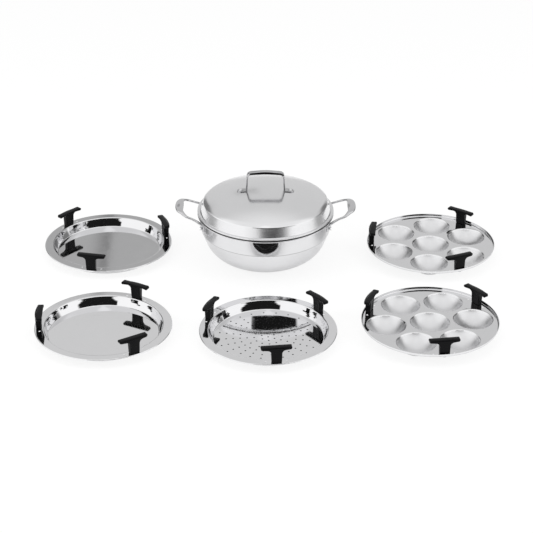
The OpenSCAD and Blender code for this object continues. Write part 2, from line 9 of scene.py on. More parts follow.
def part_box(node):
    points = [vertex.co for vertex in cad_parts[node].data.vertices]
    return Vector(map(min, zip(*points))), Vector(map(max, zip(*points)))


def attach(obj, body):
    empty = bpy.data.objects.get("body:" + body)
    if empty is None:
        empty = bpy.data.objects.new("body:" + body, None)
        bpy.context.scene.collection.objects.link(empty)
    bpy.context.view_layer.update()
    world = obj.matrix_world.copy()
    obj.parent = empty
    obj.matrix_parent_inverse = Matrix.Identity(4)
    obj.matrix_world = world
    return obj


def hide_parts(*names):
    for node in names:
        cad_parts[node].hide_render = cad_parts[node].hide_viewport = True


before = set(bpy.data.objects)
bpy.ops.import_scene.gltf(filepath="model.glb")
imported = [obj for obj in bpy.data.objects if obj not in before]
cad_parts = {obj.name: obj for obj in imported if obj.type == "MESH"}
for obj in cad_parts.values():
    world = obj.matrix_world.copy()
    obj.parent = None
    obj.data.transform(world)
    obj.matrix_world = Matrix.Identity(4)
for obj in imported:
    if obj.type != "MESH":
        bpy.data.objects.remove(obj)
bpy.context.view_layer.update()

# Idli steamer set on a pale floor: polished steel sheet, moulded black stands.
# Lengths in the dictionaries are millimetres and angles degrees; the scene itself is in metres.
mm = 0.001
print("frame loaded with", len(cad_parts), "nodes")


# Shapes worked out as arrays

# A path through corners (u, v, bend radius): each bend is the arc that touches both of its sides,
# drawn with steps of at most stepTurn degrees and stepLength mm.
def bentPath(corners, closed=False, stepTurn=6.0, stepLength=3.0):
    corners = [(*c, 0.0)[:3] for c in corners]
    points = []
    for i, (u, v, radius) in enumerate(corners):
        here = np.array((u, v), float)
        if radius == 0 or (not closed and i in (0, len(corners) - 1)):
            points.append(here[None])
            continue
        before = here - np.array(corners[i - 1][:2])
        after = np.array(corners[(i + 1) % len(corners)][:2]) - here
        before, after = before / np.hypot(*before), after / np.hypot(*after)
        side = np.sign(before[0] * after[1] - before[1] * after[0])
        turn = math.acos(max(-1.0, min(1.0, float(before @ after))))
        start = here - before * radius * math.tan(turn / 2)
        centre = start + side * radius * np.array((-before[1], before[0]))
        steps = max(2, math.ceil(math.degrees(turn) / stepTurn), math.ceil(turn * radius / stepLength))
        angles = side * np.linspace(0, turn, steps + 1)
        arm = start - centre
        points.append(centre + np.stack((arm[0] * np.cos(angles) - arm[1] * np.sin(angles),
                                         arm[0] * np.sin(angles) + arm[1] * np.cos(angles)), 1))
    return np.concatenate(points)


# The corners of the same open path moved to its right by a distance, bends following.
def movedCorners(corners, distance, leastBend=0.15):
    corners = [(*c, 0.0)[:3] for c in corners]
    spots = np.array([c[:2] for c in corners], float)
    runs = np.diff(spots, axis=0)
    runs /= np.hypot(runs[:, 0], runs[:, 1])[:, None]
    moved = []
    for i, (u, v, radius) in enumerate(corners):
        a, b = runs[max(i - 1, 0)], runs[min(i, len(runs) - 1)]
        rightA, rightB = np.array((a[1], -a[0])), np.array((b[1], -b[0]))
        shift = distance * (rightA + rightB) / (1 + rightA @ rightB)
        side = np.sign(a[0] * b[1] - a[1] * b[0])
        bend = max(radius + distance * side, leastBend) if radius else 0.0
        moved.append((u + shift[0], v + shift[1], bend))
    return moved


# Runs longer than 1.5 mm get a point near each end, so that smooth shading stays on the bends.
def heldEnds(path, near=0.3, longRun=1.5):
    out = [path[0]]
    for a, b in zip(path[:-1], path[1:]):
        length = np.hypot(*(b - a))
        if length > longRun:
            out += [a + (b - a) * near / length, b - (b - a) * near / length]
        out.append(b)
    return np.array(out)


# Quads between neighbouring rows of a grid whose rows close round: point j of row i is i * columns + j.
def ringFaces(rows, columns):
    i, j = np.arange(rows - 1)[:, None], np.arange(columns)
    nextPoint = (j + 1) % columns
    return np.stack((i * columns + j, i * columns + nextPoint, (i + 1) * columns + nextPoint,
                     (i + 1) * columns + j), -1).reshape(-1, 4).tolist()


# A ring of points for each radius: centre + radius (cos a, sin a).
def ring(radius, centre=(0.0, 0.0), sides=192):
    angles = np.arange(sides) * (2 * math.pi / sides)
    return np.stack((centre[0] + radius * np.cos(angles), centre[1] + radius * np.sin(angles)), -1)


# A path (radius, height) turned about an upright axis: one ring at its height for each point of the path.
# Points nearly on the axis are left out, so the pole closes in one ring of triangles.
def spunPatch(path, centre=(0.0, 0.0), sides=192, onAxis=1e-6, nearAxis=0.3):
    path = path[(path[:, 0] < onAxis) | (path[:, 0] > nearAxis)]
    flat = ring(path[:, :1], centre, sides).reshape(-1, 2)
    return np.column_stack((flat, np.repeat(path[:, 1], sides))), ringFaces(len(path), sides)


# Triangles filling a closed outline, with holes (x, y, radius, sides) left open and loose points used inside.
def filledOutline(outline, holes=(), loose=np.zeros((0, 2))):
    rings = [outline, *(ring(radius, (x, y), sides) for x, y, radius, sides in holes)]
    edges, first = [], 0
    for loop in rings:
        n = len(loop)
        edges += [(first + k, first + (k + 1) % n) for k in range(n)]
        first += n
    points = [Vector(p) for p in np.concatenate([*rings, loose])]
    verts, _, faces, *_ = delaunay_2d_cdt(points, edges, [], 1, 1e-6)
    verts, faces = np.array([v[:] for v in verts]), np.array([f[:] for f in faces])
    middle = verts[faces].mean(1)
    keep = np.ones(len(faces), bool)
    # A hole of n sides is empty up to between its flats and the middle of its thinnest inner triangle.
    for x, y, radius, sides in holes:
        step = 2 * math.pi / sides
        edge = (math.cos(step / 2) + (1 + 2 * math.cos(step)) / 3) / 2
        keep &= np.hypot(middle[:, 0] - x, middle[:, 1] - y) > radius * edge
    return verts, faces[keep]


# A level sheet between two heights: the same triangles above and below, and a wall down each drilled hole.
# An opened hole gets no wall, because another patch meets its edge.
def piercedSheet(outline, top, under, drilled, opened=()):
    flat, faces = filledOutline(outline, [*opened, *drilled])
    patches = [(np.column_stack((flat, np.full(len(flat), height))), order.tolist())
               for height, order in ((top, faces), (under, faces[:, ::-1]))]
    walls = [spunPatch(np.array(((r, top), (r, under))), (x, y), sides) for x, y, r, sides in drilled]
    return patches + walls


# A slab with rounded edges from a closed outline: its outline is drawn in by d along its own normals as
# the depth w nears either face, then place(u, v, w) puts every point where it belongs.
def roundedSlab(outline, depth, rounding, place, spacing=2.0, steps=4):
    tangent = np.roll(outline, -1, 0) - np.roll(outline, 1, 0)
    normal = np.stack((tangent[:, 1], -tangent[:, 0]), 1) / np.hypot(tangent[:, 0], tangent[:, 1])[:, None]
    bend = np.linspace(0, math.pi / 2, steps + 1)
    drawIn, sink = rounding * (1 - np.sin(bend)), rounding * (1 - np.cos(bend))
    drawIn = np.concatenate((drawIn, drawIn[::-1]))
    level = np.concatenate((depth / 2 - sink, (sink - depth / 2)[::-1]))
    layers = outline[None] - drawIn[:, None, None] * normal[None]
    n, rows = len(outline), len(level)
    sides = place(layers[..., 0].ravel(), layers[..., 1].ravel(), np.repeat(level, n))
    face = layers[0]
    low, high = face.min(0), face.max(0)
    grid = np.stack(np.meshgrid(np.arange(low[0] + spacing / 2, high[0], spacing),
                                np.arange(low[1] + spacing / 2, high[1], spacing)), -1).reshape(-1, 2)
    flat, triangles = filledOutline(face, loose=grid[insideOutline(grid, face, margin=spacing * 0.45)])
    patches = [(sides, ringFaces(rows, n))]
    for w, order in ((level[0], triangles), (level[-1], triangles[:, ::-1])):
        patches.append((place(flat[:, 0], flat[:, 1], np.full(len(flat), w)), order.tolist()))
    return patches


# Which points lie inside a closed outline and at least a margin from it: crossings counted to the right.
def insideOutline(points, outline, margin):
    a, b = outline, np.roll(outline, -1, 0)
    x, y = points[:, :1], points[:, 1:]
    crosses = (a[:, 1] > y) != (b[:, 1] > y)
    rise = np.where(b[:, 1] == a[:, 1], 1e-12, b[:, 1] - a[:, 1])
    inside = (crosses & (x < a[:, 0] + (y - a[:, 1]) * (b[:, 0] - a[:, 0]) / rise)).sum(1) % 2 == 1
    near = np.min(np.hypot(a[:, 0] - x, a[:, 1] - y), 1)
    return inside & (near > margin)


# A strap carried along a line: an oblong section, half sizes a and b, with rounded corners, set square to
# the line with its width along acrossWay. crown = (rise, from, to): the flat faces swell by the rise as the
# half width grows between the two. hat makes the section flat below, with sides that lean in to a crowned
# top, by a share that can change along the line.
def strapPatches(line, width, thickness, acrossWay, corner, around=5, crown=None, hat=None, hatShare=0.0):
    ahead = np.gradient(line, axis=0)
    ahead /= np.linalg.norm(ahead, axis=1)[:, None]
    across = acrossWay - ahead * np.sum(acrossWay * ahead, 1)[:, None]
    across /= np.linalg.norm(across, axis=1)[:, None]
    up = np.cross(across, ahead)
    quarter = np.linspace(0, math.pi / 2, around)
    angles = np.concatenate([quarter + k * math.pi / 2 for k in range(4)])
    signs = np.repeat(((1, 1), (-1, 1), (-1, -1), (1, -1)), around, 0)
    a, b = width[:, None] / 2, thickness[:, None] / 2
    c = np.minimum(a, b) * (1 - corner)
    du = signs[:, 0] * (a - c) + c * np.cos(angles)
    dv = signs[:, 1] * (b - c) + c * np.sin(angles)
    if crown:
        rise, start, full = crown
        swell = np.clip((a - start) / (full - start), 0, 1)
        dv = dv + rise * np.sign(dv) * (1 - (du / np.maximum(a, 0.1)) ** 2) * swell
    if hat:
        turn = math.radians(hat["flankTurn"])
        flank = np.abs(np.cos(angles)) / math.cos(turn)
        climb = np.clip(np.sin(angles) / math.sin(turn), 0, 1)
        tall = 2 * b - hat["brim"]
        topHalf = a - hat["sideLean"] * tall
        reach = np.where(climb < 1, a - (a - topHalf) * climb, topHalf * flank)
        above = hat["flankRise"] * climb + (1 - hat["flankRise"]) * np.clip(1 - flank ** 2, 0, 1)
        over = np.sin(angles) > 0
        hatU = np.where(over, np.sign(np.cos(angles)) * reach, a * np.cos(angles))
        hatV = hat["brim"] - b + np.where(over, tall * above, hat["brim"] * np.sin(angles))
        share = hatShare[:, None]
        du, dv = du + (hatU - du) * share, dv + (hatV - dv) * share
    verts = line[:, None] + across[:, None] * du[..., None] + up[:, None] * dv[..., None]
    n, rows = len(angles), len(line)
    ends = [list(range(n)), list(range((rows - 1) * n, rows * n))]
    return [(verts.reshape(-1, 3), ringFaces(rows, n) + ends)]


# A smooth line through knots (Catmull-Rom): each run is the cubic that passes its two knots with the
# slope given by the knots on either side.
def smoothLine(knots, steps):
    knots = np.array(knots, float)
    k = np.concatenate((2 * knots[:1] - knots[1:2], knots, 2 * knots[-1:] - knots[-2:-1]))
    t = (np.arange(steps) / steps)[None, :, None]
    p0, p1, p2, p3 = (k[m:len(k) - 3 + m, None] for m in range(4))
    runs = 0.5 * (2 * p1 + (p2 - p0) * t + (2 * p0 - 5 * p1 + 4 * p2 - p3) * t ** 2
                  + (3 * p1 - p0 - 3 * p2 + p3) * t ** 3)
    return np.concatenate((runs.reshape(-1, knots.shape[1]), knots[-1:]))


def newObject(name, data):
    made = bpy.data.objects.new(name, data)
    bpy.context.scene.collection.objects.link(made)
    return made


# One closed mesh from patches in millimetres, welded, faced outwards and smooth but for real edges.
def makePiece(name, patches, body, nodes, material, sharpTurn=32.0, weld=0.002):
    verts, faces, first = [], [], 0
    for patchVerts, patchFaces in patches:
        verts.append(patchVerts)
        faces += [[first + k for k in f] for f in patchFaces]
        first += len(patchVerts)
    mesh = bpy.data.meshes.new(name)
    mesh.from_pydata((np.concatenate(verts) * mm).tolist(), [], faces)
    work = bmesh.new()
    work.from_mesh(mesh)
    bmesh.ops.remove_doubles(work, verts=work.verts, dist=weld * mm)
    bmesh.ops.dissolve_degenerate(work, edges=work.edges, dist=1e-7)
    bmesh.ops.recalc_face_normals(work, faces=work.faces)
    openEdges = sum(1 for e in work.edges if not e.is_manifold)
    work.to_mesh(mesh)
    work.free()
    mesh.polygons.foreach_set("use_smooth", np.ones(len(mesh.polygons), bool))
    mesh.set_sharp_from_angle(angle=math.radians(sharpTurn))
    piece = newObject(name, mesh)
    mesh.materials.append(material)
    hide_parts(*nodes)
    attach(piece, body)
    if openEdges:
        print("open edges on", name, openEdges)


# Shader nodes: small helpers, then the groups that the finishes share

# A number or colour goes onto the socket itself, and what another node puts out is linked to it.
def feed(tree, socket, value):
    if isinstance(value, (int, float, tuple)):
        socket.default_value = value
    else:
        tree.links.new(value, socket)


def fill(tree, node, values):
    for key, value in values.items():
        feed(tree, node.inputs[key], value)
    return node


def addNode(tree, kind, values):
    return fill(tree, tree.nodes.new(kind), values)


def mathNode(tree, operation, *values, clamp=False):
    node = tree.nodes.new("ShaderNodeMath")
    node.operation, node.use_clamp = operation, clamp
    for socket, value in zip(node.inputs, values):
        feed(tree, socket, value)
    return node.outputs[0]


def mapRange(tree, value, fromMin, fromMax, toMin, toMax):
    node = addNode(tree, "ShaderNodeMapRange", {"Value": value, "From Min": fromMin, "From Max": fromMax,
                                                "To Min": toMin, "To Max": toMax})
    node.interpolation_type = "SMOOTHSTEP"
    return node.outputs["Result"]


def splitPoint(tree, point):
    return addNode(tree, "ShaderNodeSeparateXYZ", {"Vector": point}).outputs


# How far a point lies from an upright axis: the root of x squared plus y squared.
def flatDistance(tree, x, y):
    squares = [mathNode(tree, "POWER", value, 2.0) for value in (x, y)]
    return mathNode(tree, "SQRT", mathNode(tree, "ADD", *squares))


def colourMix(tree, factor, a, b):
    node = tree.nodes.new("ShaderNodeMix")
    node.data_type = "RGBA"
    for k, value in ((0, factor), (6, a), (7, b)):
        feed(tree, node.inputs[k], (*value, 1) if isinstance(value, tuple) else value)
    return node.outputs[2]


def noiseOf(tree, point, scale, detail, roughness):
    values = {"Vector": point, "Scale": scale, "Detail": detail, "Roughness": roughness}
    return addNode(tree, "ShaderNodeTexNoise", values).outputs[0]


# A group takes a point and some numbers, and puts out masks.
def newGroup(name, outputs, numbers):
    group = bpy.data.node_groups.new(name, "ShaderNodeTree")
    addSocket = group.interface.new_socket
    addSocket("Point", in_out="INPUT", socket_type="NodeSocketVector")
    for key, value in numbers.items():
        socket = addSocket(key, in_out="INPUT", socket_type="NodeSocketFloat")
        socket.default_value = value
    for key in outputs:
        addSocket(key, in_out="OUTPUT", socket_type="NodeSocketFloat")
    return group, group.nodes.new("NodeGroupInput").outputs, group.nodes.new("NodeGroupOutput")


# Each noise has its detail and roughness here. A scratch shows where its noise passes between two levels.
markLook = {
    "lines": (3.0, 0.65), "swirl": 0.8, "cloud": (4.0, 0.6), "scratch": (2.0, 0.5),
    "scratchShows": (0.62, 0.74), "stretches": ((1.0, 0.05, 0.4), (0.06, 1.0, 0.5)), "grain": (2.0, 0.6),
    "sheen": (3.0, 0.5), "sheenScale": 70.0}


# Turning lines: bands of noise that run round the piece's axis, stretched along the lathe's path.
def turningLinesGroup():
    group, given, end = newGroup("turningLines", ["Lines"], {"Pitch": 900.0})
    x, y, z = splitPoint(group, given["Point"])
    radius = flatDistance(group, x, y)
    along, level = (mathNode(group, "MULTIPLY", mathNode(group, operation, radius, z), given["Pitch"])
                    for operation in ("ADD", "SUBTRACT"))
    turn = mathNode(group, "COSINE", mathNode(group, "ARCTAN2", y, x))
    swirl = mathNode(group, "MULTIPLY", turn, markLook["swirl"])
    join = addNode(group, "ShaderNodeCombineXYZ", {"X": along, "Y": level, "Z": swirl})
    fill(group, end, {"Lines": noiseOf(group, join.outputs[0], 1.0, *markLook["lines"])})
    return group


# Handling marks: cloudy smudges, and sparse fine scratches in two directions.
def handlingGroup():
    group, given, end = newGroup("handlingMarks", ["Cloud", "Scratches"],
                                 {"Cloud Scale": 22.0, "Scratch Scale": 260.0})
    marks = []
    for stretch in markLook["stretches"]:
        squeeze = group.nodes.new("ShaderNodeVectorMath")
        squeeze.operation = "MULTIPLY"
        squeeze.inputs[1].default_value = stretch
        group.links.new(given["Point"], squeeze.inputs[0])
        fine = noiseOf(group, squeeze.outputs[0], given["Scratch Scale"], *markLook["scratch"])
        marks.append(mapRange(group, fine, *markLook["scratchShows"], 0.0, 1.0))
    cloud = noiseOf(group, given["Point"], given["Cloud Scale"], *markLook["cloud"])
    fill(group, end, {"Cloud": cloud, "Scratches": mathNode(group, "MAXIMUM", *marks)})
    return group


# Moulded grain: a fine pebble of bumps with a slow change in sheen.
def mouldedGroup():
    group, given, end = newGroup("mouldedGrain", ["Grain", "Sheen"], {"Grain Scale": 1400.0})
    grain = noiseOf(group, given["Point"], given["Grain Scale"], *markLook["grain"])
    sheen = noiseOf(group, given["Point"], markLook["sheenScale"], *markLook["sheen"])
    fill(group, end, {"Grain": grain, "Sheen": sheen})
    return group


turningLines, handlingMarks, mouldedGrain = turningLinesGroup(), handlingGroup(), mouldedGroup()


def placeGroup(tree, group, values):
    node = tree.nodes.new("ShaderNodeGroup")
    node.node_tree = group
    return fill(tree, node, values).outputs


def bumpNormal(tree, look, height):
    values = {"Strength": look["bump"], "Distance": look["bumpDepth"], "Height": height}
    return addNode(tree, "ShaderNodeBump", values).outputs[0]


def newMaterial(name):
    material = bpy.data.materials.new(name)
    material.use_nodes = True
    tree = material.node_tree
    where = tree.nodes.new("ShaderNodeTexCoord").outputs["Object"]
    return material, tree, tree.nodes["Principled BSDF"], where


# What a steel finish has where its piece says nothing else: two greys, each with the tint added, mixed by
# lines and smudges, and a roughness that grows by the spread where smudges are dense.
sheetSteel = {
    "light": 0.80, "dull": 0.70, "tint": (0.0, 0.0, 0.01), "rough": 0.07, "spread": 0.05, "pitch": 900.0,
    "bump": 0.02, "bumpDepth": 0.0004, "anisotropic": 0.0, "smudges": (0.3, 0.7), "shadeFade": 0.3}


# Steel sheet with its lines round centre, in mm. In a bowl it is rougher below the lip, and a band
# of heights, low to high, gets painted shade: its colour is darkened there.
def steelFinish(name, look, centre=(0.0, 0.0), bowl=None, paintedShade=None):
    look = {**sheetSteel, **look}
    material, tree, shader, where = newMaterial(name)
    back = (-centre[0] * mm, -centre[1] * mm, 0)
    point = addNode(tree, "ShaderNodeMapping", {"Vector": where, "Location": back}).outputs[0]
    z = splitPoint(tree, point)[2]
    lines = placeGroup(tree, turningLines, {"Point": point, "Pitch": look["pitch"]})[0]
    cloud, scratches = placeGroup(tree, handlingMarks, {"Point": point})
    mix = mathNode(tree, "MULTIPLY", mathNode(tree, "ADD", lines, cloud), 0.5, clamp=True)
    dull, light = (tuple(look[key] + part for part in look["tint"]) for key in ("dull", "light"))
    base = colourMix(tree, mix, dull, light)
    # Painted shade: between the two heights the colour goes to the shade's grey.
    if paintedShade:
        over, under = (mapRange(tree, z, height * mm, (height + look["shadeFade"]) * mm, start, 1.0 - start)
                       for height, start in ((paintedShade["low"], 0.0), (paintedShade["high"], 1.0)))
        base = colourMix(tree, mathNode(tree, "MULTIPLY", over, under), base, (paintedShade["colour"],) * 3)
    cloudy = mapRange(tree, cloud, *look["smudges"], look["rough"], look["rough"] + look["spread"])
    roughness = mathNode(tree, "MULTIPLY_ADD", scratches, look["spread"], cloudy)
    if bowl:
        deep = mapRange(tree, z, (bowl["lip"] - bowl["fade"]) * mm, bowl["lip"] * mm, bowl["rough"], 0.0)
        roughness = mathNode(tree, "ADD", roughness, deep)
    fill(tree, shader, {"Metallic": 1.0, "Anisotropic": look["anisotropic"], "Base Color": base,
                        "Roughness": roughness, "Normal": bumpNormal(tree, look, lines)})
    if look["anisotropic"]:
        tangent = tree.nodes.new("ShaderNodeTangent")
        tangent.direction_type, tangent.axis = "RADIAL", "Z"
        fill(tree, shader, {"Tangent": tangent.outputs[0]})
    return material


blackPlastic = {
    "dark": (0.0015, 0.0015, 0.002), "light": (0.004, 0.004, 0.0045), "specular": 0.09,
    "rough": (0.26, 0.36), "wear": 0.08, "cloudScale": 60.0, "bump": 0.12, "bumpDepth": 0.0003,
    "sheenRange": (0.3, 0.7)}


def plasticFinish(name):
    look = blackPlastic
    material, tree, shader, point = newMaterial(name)
    grain, sheen = placeGroup(tree, mouldedGrain, {"Point": point})
    scratches = placeGroup(tree, handlingMarks, {"Point": point, "Cloud Scale": look["cloudScale"]})[1]
    rough = mapRange(tree, sheen, *look["sheenRange"], *look["rough"])
    fill(tree, shader, {"Specular IOR Level": look["specular"], "Normal": bumpNormal(tree, look, grain),
                        "Base Color": colourMix(tree, sheen, look["dark"], look["light"]),
                        "Roughness": mathNode(tree, "MULTIPLY_ADD", scratches, look["wear"], rough)})
    return material


# Pot: a spun bowl, a seam line, a steeper band and a hemmed lip
pot = {
    "height": 94.7, "base": (57.9, 0, 6), "toe": (73.9, 5, 130), "belly": (105, 23.2, 56),
    "seam": (120.1, 63.2), "seamStep": 0.6, "seamDrop": 0.4, "seamBend": 0.3, "bandBend": 20,
    "mouthRadius": 122.4, "wall": 1.2, "lipWidth": 4.8, "lipThick": 2.2, "neckBend": 0.5, "lipBend": 1.05,
    "mouthBend": 0.7, "sides": 256, "bowlFade": 3.0, "bowlRough": 0.09, "seamShade": (1.7, 0.8),
    "seamShadeColour": 0.28,
    "steel": {"light": 0.80, "dull": 0.68, "rough": 0.03, "spread": 0.02, "pitch": 1500.0, "bump": 0.02,
              "anisotropic": 0.4}}
lipR = pot["mouthRadius"] + pot["lipWidth"]
lipZ = pot["height"] - pot["lipThick"]


def bandRadius(z):
    foot, top = pot["seam"][0] + pot["seamStep"], pot["mouthRadius"] + pot["wall"]
    return foot + (top - foot) * (z - pot["seam"][1]) / (lipZ - pot["seam"][1])


def makePot():
    p = pot
    seamR, seamZ = p["seam"]
    bowl = [(0, 0), p["base"], p["toe"], p["belly"]]
    outer = bowl + [(seamR, seamZ - p["seamDrop"], p["seamBend"]),
                    (seamR + p["seamStep"], seamZ - p["seamDrop"], p["seamBend"]),
                    (bandRadius(lipZ), lipZ, p["neckBend"]), (lipR, lipZ, p["lipBend"]),
                    (lipR, p["height"], p["lipBend"]), (p["mouthRadius"], p["height"], p["mouthBend"])]
    inner = movedCorners(bowl + [(bandRadius(seamZ), seamZ, p["bandBend"]), (bandRadius(lipZ), lipZ)],
                         -p["wall"])
    path = bentPath(outer + inner[::-1])
    under, over = p["seamShade"]
    # Painted shade: a thin band just under the seam's step is darkened to a grey.
    finish = steelFinish("potSteel", p["steel"],
                         bowl={"lip": seamZ, "fade": p["bowlFade"], "rough": p["bowlRough"]},
                         paintedShade={"low": seamZ - under, "high": seamZ - over, "colour": p["seamShadeColour"]})
    makePiece("potBody", [spunPatch(heldEnds(path), sides=p["sides"])], "pot", ["pot_body"],
              finish)
    print("pot made")


# Side handles: thin arms that widen into a flat grip, on curved foot plates.
# roots: out from the foot, share of the lean, up, added width, thickness. stations: shares of the way out,
# in from the foot to the grip's end, and up, then added width.
sideHandle = {
    "footY": 41, "footWidth": 17, "footHeight": 18, "footThick": 2.2, "footDrop": 0.8, "footLean": 1.2,
    "footBends": (5, 0.9), "footRound": 0.7, "gap": 0.05,
    "roots": ((0.7, 1.0, -5, 6, 1.54), (0.6, 0.7, 2, 4, 2.8)), "armWidth": 5, "armThick": 3.8,
    "armGap": 1.4, "armGrow": 1.2,
    "stations": ((0.28, 0.86, 0.14, 0), (0.62, 0.76, 0.53, 0.6), (0.84, 0.42, 0.88, 3.5)),
    "gripReach": 33, "gripRise": 12.3, "gripHalf": 18, "gripWidth": 16, "gripThick": 3.2,
    "gripEnd": (1, 0.3, 2.5), "corner": 0.05, "crown": (0.9, 3, 8),
    "steel": {"light": 0.72, "dull": 0.52, "rough": 0.02, "spread": 0.03, "pitch": 500.0, "bump": 0.015}}


def makeSideHandles():
    s = sideHandle
    angle = math.asin(s["footY"] / (bandRadius(lipZ) + s["footThick"]))
    footZ = lipZ - s["footDrop"] - s["footHeight"] / 2
    footX = (bandRadius(footZ) + s["footThick"] / 2) * math.cos(angle)
    outX = (lipR + s["armThick"] / 2 + s["armGap"]) * math.cos(angle)
    gripX, gripZ = lipR + s["gripReach"], pot["height"] + s["gripRise"]
    y, w, t = s["footY"], s["armWidth"], s["armThick"]
    half = [(footX + out, y - lean * s["footLean"], footZ + up, w + grow, thick)
            for out, lean, up, grow, thick in s["roots"]]
    half += [(outX, y, lipZ - s["armGap"], w + s["armGrow"], t)]
    half += [(outX + a * (gripX - outX), s["gripHalf"] + b * (y - s["gripHalf"]),
              pot["height"] + c * s["gripRise"], w + grow, t) for a, b, c, grow in s["stations"]]
    back, drop, narrow = s["gripEnd"]
    half += [(gripX - back, s["gripHalf"], gripZ - drop, s["gripWidth"] - narrow, s["gripThick"]),
             (gripX, 0, gripZ, s["gripWidth"], s["gripThick"])]
    line = smoothLine([(p[0], -p[1], *p[2:]) for p in half] + half[-2::-1], steps=12)
    across = np.cross(np.gradient(line[:, :3], axis=0), (0, 0, 1))
    u, v, (low, high) = s["footWidth"] / 2, s["footHeight"] / 2, s["footBends"]
    foot = bentPath([(-u, -v, low), (u, -v, low), (u, v, high), (-u, v, high)], closed=True, stepTurn=10)
    finish = steelFinish("sideHandleSteel", s["steel"])
    for side, name in ((1, "right"), (-1, "left")):
        patches = strapPatches(line[:, :3], line[:, 3], line[:, 4], across, s["corner"], crown=s["crown"])
        for end in (1, -1):
            # Foot plate: u runs round the pot, v up, w out from the band.
            def onBand(u, v, w, end=end):
                z = footZ + v
                r = bandRadius(z) + s["gap"] + s["footThick"] / 2 + w
                a = end * angle + u / bandRadius(footZ)
                return np.stack((r * np.cos(a), r * np.sin(a), z), 1)
            patches += roundedSlab(foot, s["footThick"], s["footRound"], onBand)
        patches = [(verts * (side, 1, 1), faces) for verts, faces in patches]
        makePiece("sideHandle" + name.capitalize(), patches, "pot",
                  ["side_handle_" + name], finish)
    print("side handles made")


# Lid: a domed shell with a rounded shoulder, a skirt, a rolled edge and a plug ring.
# shoulderBends: a wide bend back on the crown, then a tight one down the skirt (distance, radius).
lid = {
    "rise": 45.3, "crownRadius": 57.4, "crownShare": 0.9, "shoulderZ": 25.8,
    "shoulderBends": ((5.0, 19), (2.5, 3.5)), "skirtIn": 5.4, "skirtLean": 15.8, "skirtBend": 0.8,
    "skirtFoot": 1.35, "wall": 0.9, "plugGap": 0.8, "plugDepth": 5, "plugBend": 0.4,
    "plugTop": (1.0, 1.5), "edgeIn": 0.1, "edgeRoll": 1.5, "edgeGap": 2.3, "edgeBends": (0.6, 1.47),
    "neckIn": 1.2, "neckBend": 0.4, "neckBelow": 1, "neckShadeColour": 0.10, "seatGap": 0.02,
    "seatBends": (0.1, 0.3), "sides": 192,
    "steel": {"light": 0.84, "dull": 0.74, "rough": 0.14, "spread": 0.04, "pitch": 1300.0, "bump": 0.02,
              "anisotropic": 0.1}}
lidFoot = 2 * lid["wall"]
lean = math.radians(lid["skirtLean"])
skirtR = lipR - lid["skirtIn"]
shoulderR = skirtR - (lid["shoulderZ"] - lidFoot) * math.tan(lean)
crownTurn = math.atan((lid["rise"] - lid["shoulderZ"]) / (shoulderR - lid["crownRadius"]))
crownBall = lid["crownRadius"] / math.tan(crownTurn / 2)


# Height of the crown over the lip at radius r: the cap of a ball.
def domeZ(r):
    return lid["rise"] - crownBall + math.sqrt(crownBall ** 2 - r ** 2)


def makeLid():
    d = lid
    base, roll, wall = pot["height"], d["edgeRoll"], d["wall"]
    edgeR = lipR - d["edgeIn"] - roll
    plugR = pot["mouthRadius"] - d["plugGap"]
    rollZ = roll + d["edgeGap"]
    (upBack, upBend), (downOn, downBend) = d["shoulderBends"]
    dome = [(0, d["rise"]), (d["crownRadius"], d["rise"], crownBall * d["crownShare"]),
            (shoulderR - upBack * math.cos(crownTurn), d["shoulderZ"] + upBack * math.sin(crownTurn), upBend),
            (shoulderR + downOn * math.sin(lean), d["shoulderZ"] - downOn * math.cos(lean), downBend)]
    # The outside goes down to the rolled edge, round it, and back under the flange to the plug.
    turnIn, turnOver = d["edgeBends"]
    neckR, seat, low = edgeR - d["neckIn"], d["seatGap"], -d["plugDepth"]
    outer = dome + [(skirtR, rollZ + d["skirtFoot"], d["skirtBend"]), (edgeR, rollZ + roll, turnIn),
                    (edgeR + roll, rollZ + roll, turnOver), (edgeR + roll, rollZ - roll, turnOver),
                    (neckR, rollZ - roll, d["neckBend"]), (neckR, seat, d["seatBends"][0]),
                    (plugR, seat, d["seatBends"][1]), (plugR, low, d["plugBend"]),
                    (plugR - wall, low, d["plugBend"])]
    # The inside follows the dome, then ends on top of the plug instead of at the skirt's foot.
    inner = movedCorners(dome + [(skirtR, lidFoot + 0.2)], wall)
    inner[-1] = (plugR - wall, lidFoot + d["plugTop"][0], d["plugTop"][1])
    path = bentPath(outer + inner[::-1]) + (0, base)
    # Painted shade: the neck under the rolled edge, where the lid sits on the lip, is darkened almost to
    # black.
    finish = steelFinish("lidSteel", d["steel"],
                         paintedShade={"low": base - d["neckBelow"], "high": base + d["edgeGap"],
                                 "colour": d["neckShadeColour"]})
    makePiece("lidShell", [spunPatch(heldEnds(path), sides=d["sides"])], "lid", ["lid_shell"],
              finish)
    print("lid made")


# Lid handle: one strap bent into a loop with two round-ended lugs. The hat is its top bar's section.
lidHandle = {
    "loopHalf": 36.6, "rise": 40.8, "splay": 1.5, "arch": 3, "archBend": 120, "width": 14, "legThick": 3,
    "topThick": 5.2, "topBend": 8.4, "turnIn": 11, "footBend": 2.4, "legFrom": (1, 4), "lugThick": 2.4,
    "lugLength": 16, "gap": 0.06, "corner": 0.35, "around": 8, "stations": 150, "endStations": 14,
    "endShare": 0.02, "stepTurn": 5, "stepLength": 1.5,
    "hat": {"flankTurn": 42, "sideLean": 0.53, "brim": 0.6, "flankRise": 0.88},
    "steel": {"light": 0.66, "dull": 0.40, "rough": 0.03, "spread": 0.04, "pitch": 400.0, "bump": 0.01}}


